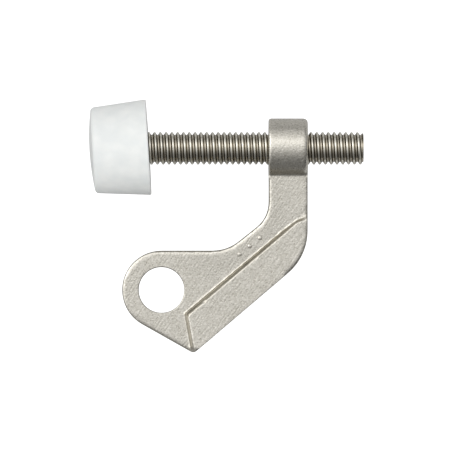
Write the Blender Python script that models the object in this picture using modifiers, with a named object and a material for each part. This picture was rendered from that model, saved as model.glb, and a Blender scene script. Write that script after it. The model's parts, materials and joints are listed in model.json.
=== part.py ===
"""Hinge-pin door stop: a cast bracket, an adjusting screw and the bumper on its end.

Frame: metres, +Z up. The origin is on the hinge pin's axis, at the underside of the hinge plate. +Z runs up
the pin and +X runs along the screw, from the bumper to the screw's free end.
"""

import math

import bmesh
import bpy
from mathutils import Matrix, Vector

MM = 0.001
INCH = 25.4 * MM

# Screw thread, 5/16 inch with 18 threads to the inch
THREAD_DIAMETER = 5 / 16 * INCH
THREAD_PITCH = INCH / 18
THREAD_CLEARANCE = 0.15 * MM  # added to every radius of the tapped hole
THREAD_STEPS = 16  # flats to a turn

# Bracket: the flat hinge plate and its ring
PIN_HOLE_DIAMETER = 7 / 16 * INCH
RING_RADIUS = 9.6 * MM
PLATE_THICKNESS = 4.8 * MM
TAIL_EDGE_ANGLE = math.radians(29.4)  # below the X axis, tangent to the ring
TIP_RADIUS = 0.6 * MM

# Bracket: the thick block along the long edge
BLOCK_THICKNESS = 7.4 * MM
BLOCK_WIDTH = 7.85 * MM  # at its top, from the long edge to the step
LONG_EDGE_OFFSET = 16.85 * MM  # pin axis to the long edge
LONG_EDGE_ANGLE = math.radians(40.4)
BLOCK_END_OFFSET = 5.5 * MM  # pin axis to the top of the block's end wall
BLOCK_END_ANGLE = math.radians(10.4)
WALL_DRAFT = math.radians(22)
HEEL_RADIUS = 13.5 * MM

# Bracket: the web and the arm
ARM_THICKNESS = 6.8 * MM
ARM_WIDTH = 9.5 * MM
ARM_CENTRE_X = 30.85 * MM
WEB_EDGE_OFFSET = 2.45 * MM  # pin axis to the line of the web's inner edge
WEB_EDGE_ANGLE = math.radians(38.5)
KNEE_RADIUS = 10.2 * MM
ELBOW_RADIUS = 7.7 * MM
RAMP_LENGTH = 28.4 * MM  # from the ring, along the long edge, as the plate thickens to the arm
EDGE_ROUNDING = 0.5 * MM

# Bracket: the threaded boss
BOSS_RADIUS = 7.3 * MM
BOSS_LENGTH = 9.6 * MM
BOSS_EDGE_ROUNDING = 0.9 * MM
SCREW_AXIS_Y = 34.5 * MM
BORE_COUNTERSINK = 0.4 * MM

# Adjusting screw, along X
SCREW_END_X = 49.2 * MM
SCREW_END_CHAMFER = 0.5 * MM
THREAD_START_X = -5.0 * MM
NECK_RADIUS = 3.1 * MM
HEAD_RADIUS = 5.5 * MM
HEAD_THICKNESS = 1.6 * MM
HEAD_ROUNDING = 0.3 * MM
HEAD_BACK_X = -10.6 * MM  # the head's face towards the bracket

# Bumper, along its own axis, which leans because the socket is loose
BUMPER_LEAN = math.radians(3.5)
BUMPER_PIVOT_X = -8.2 * MM
BUMPER_LENGTH = 14.5 * MM
BUMPER_REAR = 5.1 * MM  # pivot to the rear face
BUMPER_REAR_RADIUS = 11.72 * MM
BUMPER_FRONT_RADIUS = 10.45 * MM
BUMPER_DOME = 1.3 * MM
BUMPER_REAR_ROUNDING = 0.5 * MM
BUMPER_FRONT_ROUNDING = 1.2 * MM
SOCKET_CLEARANCE = 0.6 * MM

ARC_STEP = math.radians(9)
TURNED_STEPS = 36
OVERSHOOT = 1.0 * MM  # how far a cutter runs past what it cuts
WELD = 0.001 * MM
FLAT = math.radians(1)  # faces that turn less than this are one face

SCREW_AXIS_Z = ARM_THICKNESS / 2
SCREW_AXIS = Vector((0, SCREW_AXIS_Y, SCREW_AXIS_Z))
BOSS_ENDS = (ARM_CENTRE_X - BOSS_LENGTH / 2, ARM_CENTRE_X + BOSS_LENGTH / 2)
ALONG_X = Matrix.Rotation(math.radians(90), 4, "Y")


def clear_scene():
    """Remove every object, so that the script can run again."""
    for old in list(bpy.data.objects):
        bpy.data.objects.remove(old, do_unlink=True)


def make_collection(name):
    collection = bpy.data.collections.new(name)
    bpy.context.scene.collection.children.link(collection)
    return collection


clear_scene()
PARTS = make_collection("door_stop")
CUTTERS = make_collection("cutters")


def make_material(name, colour, roughness, metallic):
    material = bpy.data.materials.new(name)
    material.use_nodes = True
    shader = material.node_tree.nodes["Principled BSDF"]
    shader.inputs["Base Color"].default_value = (*colour, 1)
    shader.inputs["Roughness"].default_value = roughness
    shader.inputs["Metallic"].default_value = metallic
    return material


def new_object(name, mesh, collection, matrix=Matrix()):
    thing = bpy.data.objects.new(name, mesh)
    thing.matrix_world = matrix
    collection.objects.link(thing)
    return thing


def as_tool(thing):
    """Mark an object as a cutter or a guide."""
    thing.hide_render = True
    thing.display_type = "WIRE"
    return thing


def evaluated_mesh(thing):
    bpy.context.view_layer.update()
    graph = bpy.context.evaluated_depsgraph_get()
    return bpy.data.meshes.new_from_object(thing.evaluated_get(graph), depsgraph=graph)


def shade(mesh):
    mesh.shade_smooth()
    mesh.set_sharp_from_angle(angle=math.radians(35))


def rounded_path(corners, closed):
    """Points along straight runs between (x, y, radius) corners, with an arc at each round one."""
    points = []
    for index, (x, y, radius) in enumerate(corners):
        corner = Vector((x, y))
        is_end = not closed and index in (0, len(corners) - 1)
        if is_end or radius == 0:
            points.append(corner)
            continue
        previous = Vector(corners[index - 1][:2])
        following = Vector(corners[(index + 1) % len(corners)][:2])
        back = (previous - corner).normalized()
        onward = (following - corner).normalized()
        half = back.angle(onward) / 2
        centre = corner + (back + onward).normalized() * (radius / math.sin(half))
        spoke = corner + back * (radius / math.tan(half)) - centre
        turn = math.copysign(math.pi - 2 * half, onward.cross(back))
        steps = max(2, math.ceil(abs(turn) / ARC_STEP))
        points += [centre + Matrix.Rotation(turn * step / steps, 2) @ spoke for step in range(steps + 1)]
    return points


def prism(name, outline, low, high):
    """A flat outline made solid from low to high along its own Z."""
    curve = bpy.data.curves.new(name, "CURVE")
    curve.dimensions = "2D"
    curve.fill_mode = "BOTH"
    curve.extrude = (high - low) / 2
    spline = curve.splines.new("POLY")
    spline.points.add(len(outline) - 1)
    for point, (x, y) in zip(spline.points, outline):
        point.co = (x, y, 0, 1)
    spline.use_cyclic_u = True
    guide = new_object(name, curve, CUTTERS)
    mesh = evaluated_mesh(guide)
    bpy.data.objects.remove(guide)
    shape = bmesh.new()
    shape.from_mesh(mesh)
    bmesh.ops.remove_doubles(shape, verts=shape.verts, dist=WELD)
    bmesh.ops.translate(shape, verts=shape.verts, vec=(0, 0, (low + high) / 2))
    bmesh.ops.dissolve_limit(shape, angle_limit=FLAT, verts=shape.verts, edges=shape.edges)
    shape.to_mesh(mesh)
    shape.free()
    return new_object(name, mesh, CUTTERS)


def turned(name, profile, steps, matrix, collection):
    """A profile of (radius, height) turned about its own Z, listed so that its outside runs downwards."""
    mesh = bpy.data.meshes.new(name)
    mesh.from_pydata([(radius, 0, height) for radius, height in profile], line_edges(profile), [])
    thing = new_object(name, mesh, collection, matrix)
    turn = thing.modifiers.new("turn", "SCREW")
    turn.steps = steps
    turn.render_steps = steps
    turn.use_merge_vertices = True
    turn.merge_threshold = WELD
    return thing


def line_edges(points):
    return [(index, index + 1) for index in range(len(points) - 1)]


def boolean(thing, operation, other):
    step = thing.modifiers.new(operation.lower(), "BOOLEAN")
    step.operation = operation
    step.object = as_tool(other)
    step.solver = "EXACT"


def slice_off(shape, point, normal):
    """Cut away what lies beyond a plane, on the side its normal points to, and close the cut."""
    everything = list(shape.verts) + list(shape.edges) + list(shape.faces)
    bmesh.ops.bisect_plane(shape, geom=everything, plane_co=point, plane_no=normal, clear_outer=True)
    rim = [edge for edge in shape.edges if edge.is_boundary]
    bmesh.ops.holes_fill(shape, edges=rim)


def thread_profile(growth):
    """One pitch of the basic 60 degree form, from one root's edge down to the next."""
    depth = 5 / 8 * math.cos(math.radians(30)) * THREAD_PITCH
    crest = THREAD_DIAMETER / 2 + growth
    root = crest - depth
    flank = depth * math.tan(math.radians(30))
    crest_flat = THREAD_PITCH / 8
    heights = (THREAD_PITCH, THREAD_PITCH - flank, THREAD_PITCH - flank - crest_flat, THREAD_PITCH / 4, 0)
    return list(zip((root, crest, crest, root, root), heights))


def threaded_rod(name, start, end, growth, collection):
    """A right-handed thread on the screw's axis from start to end along X, always in the same phase."""
    first_turn = math.floor(start / THREAD_PITCH) - 2
    turns = math.ceil((end - start) / THREAD_PITCH) + 4
    helix = turned(name, thread_profile(growth), THREAD_STEPS, Matrix(), CUTTERS)
    helix.modifiers["turn"].screw_offset = THREAD_PITCH
    helix.modifiers["turn"].iterations = turns
    mesh = evaluated_mesh(helix)
    bpy.data.objects.remove(helix)
    shape = bmesh.new()
    shape.from_mesh(mesh)
    bmesh.ops.translate(shape, verts=shape.verts, vec=(0, 0, first_turn * THREAD_PITCH))
    bmesh.ops.remove_doubles(shape, verts=shape.verts, dist=WELD)
    slice_off(shape, Vector((0, 0, start)), Vector((0, 0, -1)))
    slice_off(shape, Vector((0, 0, end)), Vector((0, 0, 1)))
    shape.to_mesh(mesh)
    shape.free()
    return new_object(name, mesh, collection, Matrix.Translation(SCREW_AXIS) @ ALONG_X)


def edge_line(angle, offset):
    """A line that rises at an angle and passes offset to the right of the pin's axis: normal, distance."""
    return Vector((math.sin(angle), -math.cos(angle))), offset


def crossing(first, second):
    """Where two lines of the form (normal, distance) meet."""
    (a, b), c = first
    (d, e), f = second
    scale = a * e - b * d
    return (c * e - b * f) / scale, (a * f - c * d) / scale


def bracket_outline():
    """The bracket seen from above, from its tip along the long edge, up the arm and back round the ring."""
    tail_edge = (Vector((-math.sin(TAIL_EDGE_ANGLE), -math.cos(TAIL_EDGE_ANGLE))), RING_RADIUS)
    long_edge = edge_line(LONG_EDGE_ANGLE, LONG_EDGE_OFFSET)
    web_edge = edge_line(WEB_EDGE_ANGLE, WEB_EDGE_OFFSET)
    arm_right = (Vector((1, 0)), ARM_CENTRE_X + ARM_WIDTH / 2)
    arm_left = (Vector((1, 0)), ARM_CENTRE_X - ARM_WIDTH / 2)
    top_edge = (Vector((0, 1)), RING_RADIUS)
    corners = (
        (*crossing(tail_edge, long_edge), TIP_RADIUS),
        (*crossing(long_edge, arm_right), HEEL_RADIUS),
        (ARM_CENTRE_X + ARM_WIDTH / 2, SCREW_AXIS_Y, 0),
        (ARM_CENTRE_X - ARM_WIDTH / 2, SCREW_AXIS_Y, 0),
        (*crossing(arm_left, web_edge), ELBOW_RADIUS),
        (*crossing(web_edge, top_edge), KNEE_RADIUS),
        (*crossing(top_edge, tail_edge), RING_RADIUS),
    )
    return rounded_path(corners, closed=True)


def block_wedge():
    """The room between the block's two drafted walls, where the top isn't cut down."""
    reach = 3 * SCREW_AXIS_Y
    square = ((-reach, -reach), (reach, -reach), (reach, reach), (-reach, reach))
    wedge = prism("block_wedge", square, PLATE_THICKNESS - OVERSHOOT, BLOCK_THICKNESS + 2 * OVERSHOOT)
    step_normal, step_offset = edge_line(LONG_EDGE_ANGLE, LONG_EDGE_OFFSET - BLOCK_WIDTH)
    end_normal = Vector((math.cos(BLOCK_END_ANGLE), math.sin(BLOCK_END_ANGLE)))
    shape = bmesh.new()
    shape.from_mesh(wedge.data)
    for normal, offset in ((step_normal, step_offset), (end_normal, BLOCK_END_OFFSET)):
        wall_top = Vector((*(normal * offset), BLOCK_THICKNESS))
        slice_off(shape, wall_top, Vector((*-normal, math.tan(WALL_DRAFT))))
    shape.to_mesh(wedge.data)
    shape.free()
    return wedge


def recess_cutter():
    """What is taken off above the plate, the web and the arm, up to the block's two walls."""
    reach = 2 * SCREW_AXIS_Y
    top = BLOCK_THICKNESS + OVERSHOOT
    side_view = (
        (-reach, PLATE_THICKNESS),
        (RING_RADIUS, PLATE_THICKNESS),
        (RING_RADIUS + RAMP_LENGTH, ARM_THICKNESS),
        (reach, ARM_THICKNESS),
        (reach, top),
        (-reach, top),
    )
    along_edge = Matrix.Rotation(LONG_EDGE_ANGLE, 4, "Z") @ Matrix.Rotation(math.radians(90), 4, "X")
    cutter = prism("recess", side_view, -reach, reach)
    cutter.data.transform(along_edge)
    boolean(cutter, "DIFFERENCE", block_wedge())
    return cutter


def boss():
    left, right = BOSS_ENDS
    corners = (
        (0, right, 0),
        (BOSS_RADIUS, right, BOSS_EDGE_ROUNDING),
        (BOSS_RADIUS, left, BOSS_EDGE_ROUNDING),
        (0, left, 0),
    )
    profile = rounded_path(corners, closed=False)
    return turned("boss_blank", profile, TURNED_STEPS, Matrix.Translation(SCREW_AXIS) @ ALONG_X, CUTTERS)


def countersink(name, face_x, outward):
    """A cone that opens the tapped hole at one face of the boss."""
    mouth = THREAD_DIAMETER / 2 + THREAD_CLEARANCE + BORE_COUNTERSINK
    profile = ((0, OVERSHOOT), (mouth + OVERSHOOT, OVERSHOOT), (0, -mouth))
    turn = ALONG_X if outward > 0 else Matrix.Rotation(math.radians(-90), 4, "Y")
    place = Matrix.Translation(SCREW_AXIS + Vector((face_x, 0, 0))) @ turn
    return turned(name, profile, TURNED_STEPS, place, CUTTERS)


def pin_hole_cutter():
    radius = PIN_HOLE_DIAMETER / 2
    profile = (
        (0, BLOCK_THICKNESS + OVERSHOOT),
        (radius, BLOCK_THICKNESS + OVERSHOOT),
        (radius, -OVERSHOOT),
        (0, -OVERSHOOT),
    )
    return turned("pin_hole", profile, TURNED_STEPS, Matrix(), CUTTERS)


def hinge_bracket(material):
    blank = prism("bracket_blank", bracket_outline(), 0, BLOCK_THICKNESS)
    bracket = new_object("hinge_bracket", blank.data.copy(), PARTS)
    bpy.data.objects.remove(blank)
    rounding = bracket.modifiers.new("edges", "BEVEL")
    rounding.width = EDGE_ROUNDING
    rounding.segments = 2
    rounding.limit_method = "ANGLE"
    rounding.angle_limit = math.radians(60)
    boolean(bracket, "DIFFERENCE", recess_cutter())
    boolean(bracket, "DIFFERENCE", pin_hole_cutter())
    boolean(bracket, "UNION", boss())
    left, right = BOSS_ENDS
    tap = threaded_rod("tap", left - OVERSHOOT, right + OVERSHOOT, THREAD_CLEARANCE, CUTTERS)
    boolean(bracket, "DIFFERENCE", tap)
    boolean(bracket, "DIFFERENCE", countersink("sink_left", left, -1))
    boolean(bracket, "DIFFERENCE", countersink("sink_right", right, 1))
    bracket.data.materials.append(material)
    shade(bracket.data)
    return bracket


def screw_envelope():
    """A plain shape as wide as the thread and more, with the free end's chamfer."""
    crest = THREAD_DIAMETER / 2
    profile = (
        (0, SCREW_END_X),
        (crest - SCREW_END_CHAMFER, SCREW_END_X),
        (crest + OVERSHOOT, SCREW_END_X - SCREW_END_CHAMFER - OVERSHOOT),
        (crest + OVERSHOOT, THREAD_START_X - OVERSHOOT),
        (0, THREAD_START_X - OVERSHOOT),
    )
    place = Matrix.Translation(SCREW_AXIS) @ ALONG_X
    return turned("screw_envelope", profile, TURNED_STEPS, place, CUTTERS)


def screw_head():
    """The plain neck behind the thread and the flat head that the bumper is pushed over."""
    corners = (
        (0, THREAD_START_X + OVERSHOOT, 0),
        (NECK_RADIUS, THREAD_START_X + OVERSHOOT, 0),
        (NECK_RADIUS, HEAD_BACK_X, 0),
        (HEAD_RADIUS, HEAD_BACK_X, HEAD_ROUNDING),
        (HEAD_RADIUS, HEAD_BACK_X - HEAD_THICKNESS, HEAD_ROUNDING),
        (0, HEAD_BACK_X - HEAD_THICKNESS, 0),
    )
    place = Matrix.Translation(SCREW_AXIS) @ ALONG_X
    return turned("screw_head", rounded_path(corners, closed=False), TURNED_STEPS, place, CUTTERS)


def adjusting_screw(material):
    screw = threaded_rod("adjusting_screw", THREAD_START_X, SCREW_END_X + OVERSHOOT, 0, PARTS)
    boolean(screw, "INTERSECT", screw_envelope())
    boolean(screw, "UNION", screw_head())
    screw.data.materials.append(material)
    shade(screw.data)
    return screw


def bumper_profile():
    """From the floor of the socket out through its mouth, down the outer side and in over the domed front."""
    floor = HEAD_BACK_X - HEAD_THICKNESS - SOCKET_CLEARANCE - BUMPER_PIVOT_X
    roof = HEAD_BACK_X + SOCKET_CLEARANCE - BUMPER_PIVOT_X
    pocket = HEAD_RADIUS + SOCKET_CLEARANCE
    mouth = THREAD_DIAMETER / 2 + SOCKET_CLEARANCE
    front = BUMPER_REAR - BUMPER_LENGTH + BUMPER_DOME
    corners = [
        (0, floor, 0),
        (pocket, floor, 0),
        (pocket, roof, 0),
        (mouth, roof, 0),
        (mouth, BUMPER_REAR, 0),
        (BUMPER_REAR_RADIUS, BUMPER_REAR, BUMPER_REAR_ROUNDING),
        (BUMPER_FRONT_RADIUS, front, BUMPER_FRONT_ROUNDING),
    ]
    dome_steps = 5
    for step in range(1, dome_steps + 1):
        share = 1 - step / dome_steps
        corners.append((BUMPER_FRONT_RADIUS * share, front - BUMPER_DOME * (1 - share**2), 0))
    return rounded_path(corners, closed=False)


def bumper(material):
    place = Matrix.Translation(SCREW_AXIS + Vector((BUMPER_PIVOT_X, 0, 0)))
    lean = Matrix.Rotation(BUMPER_LEAN, 4, "Z")
    tip = turned("bumper", bumper_profile(), TURNED_STEPS, place @ lean @ ALONG_X, PARTS)
    tip.data.materials.append(material)
    tip.modifiers["turn"].use_smooth_shade = True
    return tip


nickel = make_material("satin_nickel", (0.47, 0.455, 0.42), 0.35, 1.0)
bright_nickel = make_material("nickel_plate", (0.42, 0.39, 0.34), 0.28, 1.0)
vinyl = make_material("white_vinyl", (0.82, 0.82, 0.81), 0.5, 0.0)
hinge_bracket(nickel)
adjusting_screw(bright_nickel)
bumper(vinyl)
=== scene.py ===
"""Finished surfaces, light and camera for a hinge-pin door stop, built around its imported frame.

The frame's origin is on the hinge pin's axis, at the underside of the hinge plate. +Z runs up the pin and +X
along the adjusting screw, from the bumper to the screw's free end. All lengths are in metres.
"""

import json
import logging
import math
from dataclasses import dataclass
from enum import Enum
from typing import Iterable, Sequence

import bmesh
import bpy
from mathutils import Matrix, Vector, kdtree, noise


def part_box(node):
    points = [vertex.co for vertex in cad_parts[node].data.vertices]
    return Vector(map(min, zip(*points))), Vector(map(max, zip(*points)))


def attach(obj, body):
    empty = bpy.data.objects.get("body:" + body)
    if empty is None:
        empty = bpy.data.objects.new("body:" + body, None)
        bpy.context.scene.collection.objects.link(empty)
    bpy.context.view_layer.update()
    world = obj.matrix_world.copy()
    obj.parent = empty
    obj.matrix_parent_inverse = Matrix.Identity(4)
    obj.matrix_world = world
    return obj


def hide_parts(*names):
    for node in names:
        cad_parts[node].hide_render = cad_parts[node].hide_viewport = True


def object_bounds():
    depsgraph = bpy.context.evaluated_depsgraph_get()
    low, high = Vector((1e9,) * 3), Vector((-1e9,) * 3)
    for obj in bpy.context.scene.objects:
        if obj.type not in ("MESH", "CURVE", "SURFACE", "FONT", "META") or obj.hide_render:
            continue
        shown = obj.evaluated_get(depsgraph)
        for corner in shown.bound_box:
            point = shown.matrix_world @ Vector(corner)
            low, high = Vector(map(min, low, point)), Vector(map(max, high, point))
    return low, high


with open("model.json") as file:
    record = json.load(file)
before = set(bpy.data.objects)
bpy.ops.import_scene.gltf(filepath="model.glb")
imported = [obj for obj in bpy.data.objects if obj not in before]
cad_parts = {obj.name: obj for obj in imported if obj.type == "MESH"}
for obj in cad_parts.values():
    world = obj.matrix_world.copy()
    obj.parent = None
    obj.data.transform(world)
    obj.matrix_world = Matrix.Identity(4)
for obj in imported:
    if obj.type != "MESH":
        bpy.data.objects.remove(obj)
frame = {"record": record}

LOG = logging.getLogger("door_stop")
MM = 0.001
INCH = 25.4 * MM
WELD = 0.002 * MM
QUARTER_TURN = math.radians(90)
SMOOTH_ANGLE = math.radians(32)
HEAD_THICKNESS = 1.6 * MM
# Name of the attribute that says where painted shade darkens the bracket's colour.
PAINTED_SHADE = "painted_shade"


class Body(Enum):
    """The rigid bodies that the pieces ride on."""

    BRACKET = "bracket"
    BUMPER = "bumper"
    SCREW = "screw"


class Side(Enum):
    """The two end faces of the boss, by the direction each one faces."""

    LEFT = -1
    RIGHT = 1


def corners_of(bounds: Iterable[Sequence[float]]) -> list[list[float]]:
    """Return a box's two corners as plain lists of numbers.

    Args:
        bounds: The lowest and the highest corner.

    Returns:
        The same two corners, as lists.
    """
    return [[float(value) for value in corner] for corner in bounds]


CAD_BOX = corners_of(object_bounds())


# ---------------------------------------------------------------- colours and node trees


def linear_colour(code: str) -> tuple[float, float, float, float]:
    """Turn an sRGB hex code into a linear colour.

    Args:
        code: Six hex digits, two each for red, green and blue.

    Returns:
        The linear red, green and blue, with an alpha of 1.
    """
    parts = [int(code[index : index + 2], 16) / 255 for index in (0, 2, 4)]
    red, green, blue = (
        part / 12.92 if part <= 0.04045 else ((part + 0.055) / 1.055) ** 2.4 for part in parts
    )
    return red, green, blue, 1.0


def per_feature(size_mm: float) -> float:
    """Return the texture scale at which one feature of a pattern is size_mm across."""
    return 1 / (size_mm * MM)


def feed(tree: bpy.types.NodeTree, node: bpy.types.Node, inputs: dict) -> None:
    """Set a node's inputs, or link them.

    Args:
        tree: The node tree that holds the node.
        node: The node.
        inputs: Input name or index to the value, or to the output socket that feeds it.
    """
    for key, value in inputs.items():
        if isinstance(value, bpy.types.NodeSocket):
            tree.links.new(value, node.inputs[key])
        else:
            node.inputs[key].default_value = value


def add_node(
    tree: bpy.types.NodeTree, kind: str, inputs: dict | None = None, **settings: object
) -> bpy.types.Node:
    """Add a node, set it up and link it.

    Args:
        tree: The node tree that takes the node.
        kind: The node's type name, without its ShaderNode prefix.
        inputs: What its inputs get, as for feed.
        **settings: The node's own properties.

    Returns:
        The new node.
    """
    node = tree.nodes.new("ShaderNode" + kind)
    for name, value in settings.items():
        setattr(node, name, value)
    feed(tree, node, inputs or {})
    return node


def set_ramp(node: bpy.types.Node, stops: Sequence[tuple[float, Sequence[float]]]) -> None:
    """Give a colour ramp its stops.

    Args:
        node: The colour ramp.
        stops: Each stop's position and linear colour, in rising order.
    """
    ramp = node.color_ramp
    while len(ramp.elements) < len(stops):
        ramp.elements.new(1.0)
    for element, (position, colour) in zip(ramp.elements, stops):
        element.position = position
        element.color = colour


def blank_material(name: str) -> tuple[bpy.types.Material, bpy.types.NodeTree, bpy.types.Node]:
    """Make a material that holds only a Principled shader and its output.

    Args:
        name: The material's name.

    Returns:
        The material, its node tree and its shader node.
    """
    material = bpy.data.materials.new(name)
    material.use_nodes = True
    tree = material.node_tree
    return material, tree, tree.nodes["Principled BSDF"]


# ---------------------------------------------------------------- mesh helpers


def rounded_path(
    corners: Sequence[tuple[float, float, float]], closed: bool, arc_step: float
) -> list[Vector]:
    """Run a path between corners, with an arc at each corner that has a radius.

    Args:
        corners: Each corner's two coordinates and its radius.
        closed: Whether the last corner joins the first.
        arc_step: The largest angle between two points of an arc, in radians.

    Returns:
        The path's points.
    """
    points: list[Vector] = []
    for index, (first, second, radius) in enumerate(corners):
        corner = Vector((first, second))
        is_end = not closed and index in (0, len(corners) - 1)
        if is_end or radius == 0:
            points.append(corner)
            continue
        previous = Vector(corners[index - 1][:2])
        following = Vector(corners[(index + 1) % len(corners)][:2])
        back = (previous - corner).normalized()
        onward = (following - corner).normalized()
        half = back.angle(onward) / 2
        centre = corner + (back + onward).normalized() * (radius / math.sin(half))
        spoke = corner + back * (radius / math.tan(half)) - centre
        turn = math.copysign(math.pi - 2 * half, onward.cross(back))
        steps = max(2, math.ceil(abs(turn) / arc_step))
        points += [centre + Matrix.Rotation(turn * step / steps, 2) @ spoke for step in range(steps + 1)]
    return points


def verts_in(items: Iterable[object]) -> list[bmesh.types.BMVert]:
    """Pick out the points among the elements that an operator gives back."""
    return [item for item in items if isinstance(item, bmesh.types.BMVert)]


def fill_holes(shape: bmesh.types.BMesh) -> None:
    """Close every open rim with a face."""
    bmesh.ops.holes_fill(shape, edges=[edge for edge in shape.edges if edge.is_boundary])


def prism(outline: Sequence[Sequence[float]], rise: Vector, to_world: Matrix) -> bmesh.types.BMesh:
    """Extrude a flat outline into a solid.

    Args:
        outline: The outline's points in its own plane.
        rise: How far and which way it is extruded, after it has been placed.
        to_world: Places the outline's plane.

    Returns:
        The solid.
    """
    shape = bmesh.new()
    ring = [shape.verts.new(to_world @ Vector((point[0], point[1], 0))) for point in outline]
    face = shape.faces.new(ring)
    grown = bmesh.ops.extrude_face_region(shape, geom=[face], use_keep_orig=True)
    bmesh.ops.translate(shape, verts=verts_in(grown["geom"]), vec=rise)
    bmesh.ops.recalc_face_normals(shape, faces=shape.faces)
    return shape


def turned(profile: Sequence[Sequence[float]], to_world: Matrix, steps: int) -> bmesh.types.BMesh:
    """Turn a profile of (radius, height) points about its own Z into a closed solid.

    Args:
        profile: The profile's points, from the axis round to the axis.
        to_world: Places the profile's own Z.
        steps: How many steps a full turn has.

    Returns:
        The solid.
    """
    shape = bmesh.new()
    line = [shape.verts.new((point[0], 0, point[1])) for point in profile]
    edges = [shape.edges.new(pair) for pair in zip(line, line[1:])]
    bmesh.ops.spin(
        shape, geom=line + edges, cent=(0, 0, 0), axis=(0, 0, 1), angle=math.tau, steps=steps, use_merge=True
    )
    bmesh.ops.remove_doubles(shape, verts=shape.verts, dist=WELD)
    bmesh.ops.transform(shape, matrix=to_world, verts=shape.verts)
    bmesh.ops.recalc_face_normals(shape, faces=shape.faces)
    return shape


def slice_off(shape: bmesh.types.BMesh, point: Vector, normal: Vector, close: bool = True) -> None:
    """Cut away what lies beyond a plane.

    Args:
        shape: The mesh that is cut.
        point: A point on the plane.
        normal: The plane's normal, towards the side that goes.
        close: Whether the cut is closed with a face.
    """
    everything = list(shape.verts) + list(shape.edges) + list(shape.faces)
    bmesh.ops.bisect_plane(shape, geom=everything, plane_co=point, plane_no=normal, clear_outer=True)
    if close:
        fill_holes(shape)


def to_object(shape: bmesh.types.BMesh, name: str) -> bpy.types.Object:
    """Put a finished mesh into a new object at the origin.

    Args:
        shape: The mesh, which is freed.
        name: The object's name.

    Returns:
        The object.
    """
    mesh = bpy.data.meshes.new(name)
    shape.to_mesh(mesh)
    shape.free()
    thing = bpy.data.objects.new(name, mesh)
    bpy.context.scene.collection.objects.link(thing)
    return thing


def from_object(thing: bpy.types.Object) -> bmesh.types.BMesh:
    """Take an object's mesh out of it, and remove the object."""
    shape = bmesh.new()
    shape.from_mesh(thing.data)
    bpy.data.objects.remove(thing)
    return shape


def apply_modifiers(thing: bpy.types.Object) -> None:
    """Bake an object's modifiers into its own mesh."""
    bpy.context.view_layer.update()
    graph = bpy.context.evaluated_depsgraph_get()
    mesh = bpy.data.meshes.new_from_object(thing.evaluated_get(graph), depsgraph=graph)
    thing.modifiers.clear()
    thing.data = mesh


def combine(thing: bpy.types.Object, operation: str, shapes: Sequence[bmesh.types.BMesh]) -> None:
    """Join solids to an object's mesh, or cut them out of it.

    Args:
        thing: The object that is changed.
        operation: UNION or DIFFERENCE.
        shapes: The solids, which are freed.
    """
    tools = [to_object(shape, "tool") for shape in shapes]
    for tool in tools:
        step = thing.modifiers.new("step", "BOOLEAN")
        step.operation = operation
        step.object = tool
        step.solver = "EXACT"
    apply_modifiers(thing)
    for tool in tools:
        bpy.data.objects.remove(tool)


def smooth_shading(thing: bpy.types.Object) -> None:
    """Shade an object smooth, with its sharp edges kept."""
    thing.data.shade_smooth()
    thing.data.set_sharp_from_angle(angle=SMOOTH_ANGLE)


# ---------------------------------------------------------------- sizes read from the frame


@dataclass(frozen=True)
class Layout:
    """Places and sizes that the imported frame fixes.

    Args:
        ring_radius: Outside radius of the ring round the hinge pin.
        plate_top: Height of the hinge plate's top face.
        arm_top: Height of the arm's top face.
        block_top: Height of the block's top face.
        long_edge: Distance from the pin's axis to the long edge.
        long_edge_angle: How steeply the long edge rises.
        boss_radius: Radius of the threaded boss.
        boss_right: The boss's end face towards the screw's free end.
        axis: A point on the screw's axis, above the origin's X.
        pitch: The thread's pitch.
        screw_start: The head's face towards the bumper's front.
        screw_end: The screw's free end.
        head_radius: Radius of the screw's head.
    """

    ring_radius: float
    plate_top: float
    arm_top: float
    block_top: float
    long_edge: float
    long_edge_angle: float
    boss_radius: float
    boss_right: float
    axis: Vector
    pitch: float
    screw_start: float
    screw_end: float
    head_radius: float

    @classmethod
    def read(cls) -> "Layout":
        """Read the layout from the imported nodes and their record.

        Returns:
            The layout.
        """
        low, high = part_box("hinge_bracket")
        screw_low, screw_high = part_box("adjusting_screw")
        mounts = {mount["name"]: mount for mount in frame["record"]["mounts"]}
        coupling = frame["record"]["behaviour"]["couplings"][0]
        edge = mounts["long_edge_face"]
        boss_radius = (high.z - low.z) / 2
        axis = Vector((0, high.y - boss_radius, (high.z + low.z) / 2))
        return cls(
            ring_radius=-low.x,
            plate_top=mounts["pin_head_seat"]["pos_m"][2],
            arm_top=2 * axis.z,
            block_top=2 * edge["pos_m"][2],
            long_edge=Vector(edge["pos_m"]).to_2d().dot(Vector(edge["axis"]).to_2d()),
            long_edge_angle=math.atan2(edge["axis"][0], -edge["axis"][1]),
            boss_radius=boss_radius,
            boss_right=high.x,
            axis=axis,
            pitch=math.tau / coupling["ratio"],
            screw_start=screw_low.x,
            screw_end=screw_high.x,
            head_radius=(screw_high.z - screw_low.z) / 2,
        )

    def along_screw(self) -> Matrix:
        """Return the matrix that lays a turned shape's own Z along the screw's axis."""
        return Matrix.Translation(self.axis) @ Matrix.Rotation(QUARTER_TURN, 4, "Y")


# ---------------------------------------------------------------- finishes


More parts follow.
